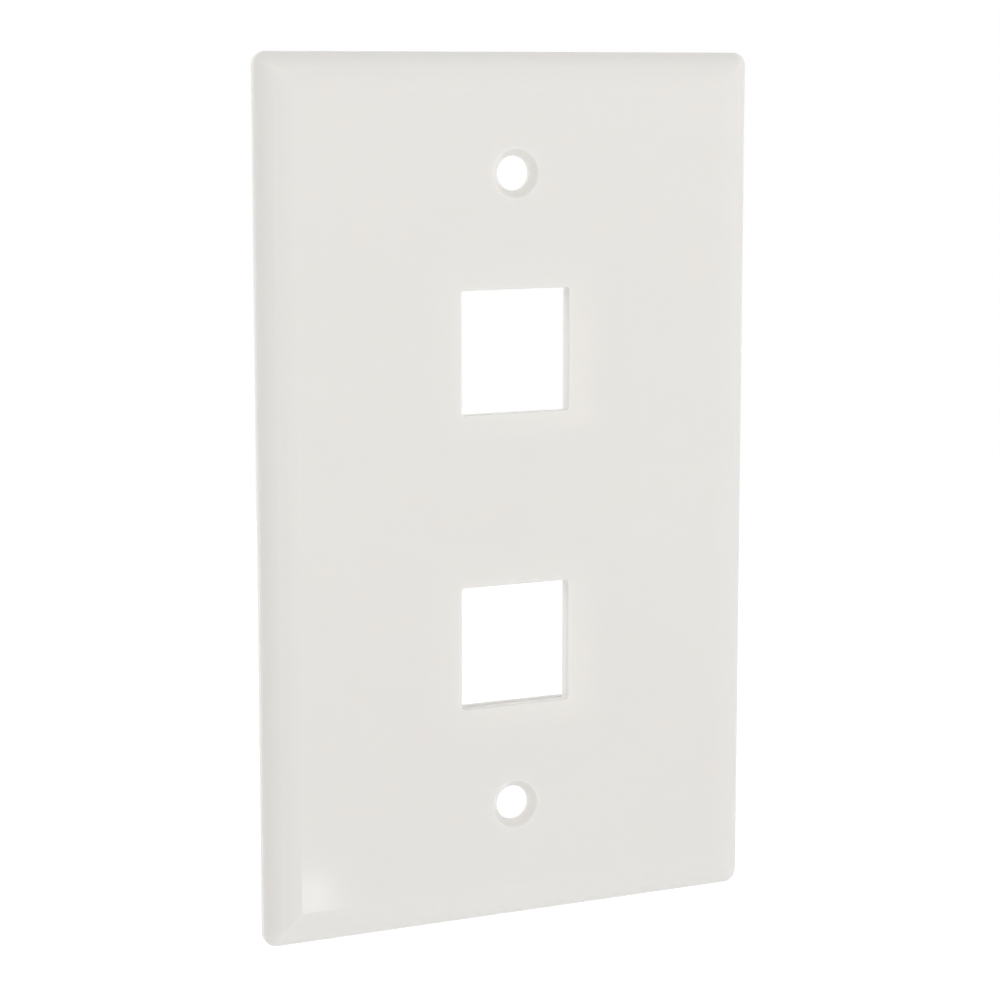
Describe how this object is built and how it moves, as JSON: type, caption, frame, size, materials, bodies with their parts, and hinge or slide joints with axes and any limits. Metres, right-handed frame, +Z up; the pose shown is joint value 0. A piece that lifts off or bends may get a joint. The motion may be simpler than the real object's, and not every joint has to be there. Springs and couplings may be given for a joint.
{
  "type": "keystone faceplate",
  "caption": "Upright rectangular wall plate with a bevelled border, countersunk screw holes and snap-in ports for keystone jacks.",
  "frame": {"origin": "centre of the wall plane, the plane in which the rear rim meets the wall, midway between the two screw holes", "axes": "+Z up along the long side, +X to the right of someone facing the plate, the front face looks towards -Y and the port collars point to +Y"},
  "size_m": [0.0698, 0.0098, 0.1142],
  "materials": {
    "abs_white": "glossy injection-moulded ABS, warm white"
  },
  "bodies": {
    "root": {"faceplate": "abs_white"}
  },
  "joints": []
}
